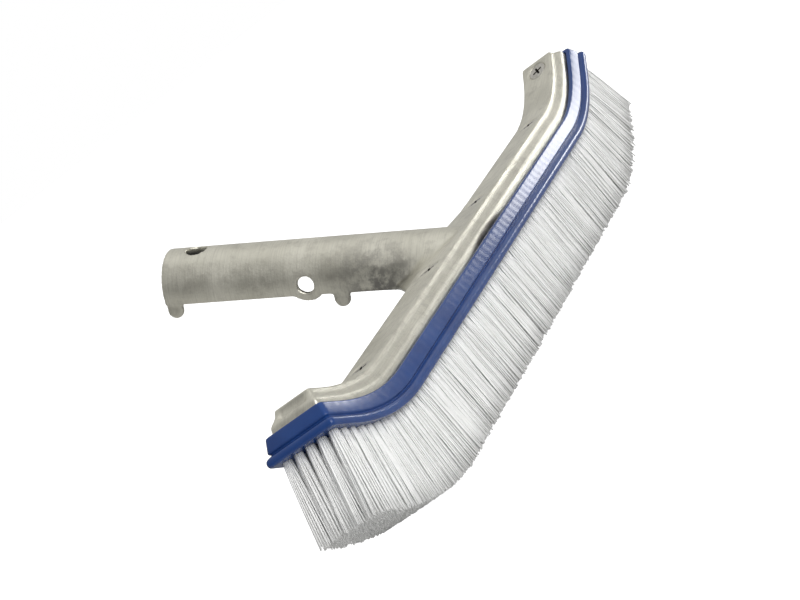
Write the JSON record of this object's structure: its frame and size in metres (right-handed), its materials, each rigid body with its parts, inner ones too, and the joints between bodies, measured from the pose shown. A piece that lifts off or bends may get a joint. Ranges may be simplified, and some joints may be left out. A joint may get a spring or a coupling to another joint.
{
  "type": "pool wall brush",
  "caption": "Curved pool wall brush: cast aluminium back with a C-section pole handle, a blue plastic block screwed beneath it, and rows of nylon bristle tufts.",
  "frame": {"origin": "middle of the flat stretch of bristle tips, on the plane that the brush scrubs on", "axes": "+X along the head, +Z away from the scrubbed surface, the handle leans towards -Y and rises at 30 degrees"},
  "size_m": [0.47, 0.1415, 0.1239],
  "materials": {
    "cast_aluminium": "cast and linished aluminium, warm light grey, fine marks across the tube",
    "blue_plastic": "injection-moulded blue plastic, glossy",
    "screw_steel": "plain steel countersunk screws, slightly dull",
    "nylon_bristle": "white, slightly translucent nylon filaments"
  },
  "bodies": {
    "root": {"bristles_row_1_group_1": "nylon_bristle", "bristles_row_1_group_2": "nylon_bristle", "bristles_row_1_group_3": "nylon_bristle", "bristles_row_1_group_4": "nylon_bristle", "bristles_row_1_group_5": "nylon_bristle", "bristles_row_1_group_6": "nylon_bristle", "bristles_row_1_group_7": "nylon_bristle", "bristles_row_1_group_8": "nylon_bristle", "bristles_row_1_group_9": "nylon_bristle", "bristles_row_2_group_1": "nylon_bristle", "bristles_row_2_group_2": "nylon_bristle", "bristles_row_2_group_3": "nylon_bristle", "bristles_row_2_group_4": "nylon_bristle", "bristles_row_2_group_5": "nylon_bristle", "bristles_row_2_group_6": "nylon_bristle", "bristles_row_2_group_7": "nylon_bristle", "bristles_row_2_group_8": "nylon_bristle", "bristles_row_2_group_9": "nylon_bristle", "bristles_row_3_group_1": "nylon_bristle", "bristles_row_3_group_2": "nylon_bristle", "bristles_row_3_group_3": "nylon_bristle", "bristles_row_3_group_4": "nylon_bristle", "bristles_row_3_group_5": "nylon_bristle", "bristles_row_3_group_6": "nylon_bristle", "bristles_row_3_group_7": "nylon_bristle", "bristles_row_3_group_8": "nylon_bristle", "bristles_row_3_group_9": "nylon_bristle", "bristles_row_4_group_1": "nylon_bristle", "bristles_row_4_group_2": "nylon_bristle", "bristles_row_4_group_3": "nylon_bristle", "bristles_row_4_group_4": "nylon_bristle", "bristles_row_4_group_5": "nylon_bristle", "bristles_row_4_group_6": "nylon_bristle", "bristles_row_4_group_7": "nylon_bristle", "bristles_row_4_group_8": "nylon_bristle", "bristles_row_4_group_9": "nylon_bristle", "bristles_row_5_group_1": "nylon_bristle", "bristles_row_5_group_2": "nylon_bristle", "bristles_row_5_group_3": "nylon_bristle", "bristles_row_5_group_4": "nylon_bristle", "bristles_row_5_group_5": "nylon_bristle", "bristles_row_5_group_6": "nylon_bristle", "bristles_row_5_group_7": "nylon_bristle", "bristles_row_5_group_8": "nylon_bristle", "bristles_row_5_group_9": "nylon_bristle", "brush_block": "blue_plastic", "handle_casting": "cast_aluminium", "screw_1": "screw_steel", "screw_2": "screw_steel", "screw_3": "screw_steel", "screw_4": "screw_steel", "screw_5": "screw_steel", "screw_6": "screw_steel"}
  },
  "joints": []
}
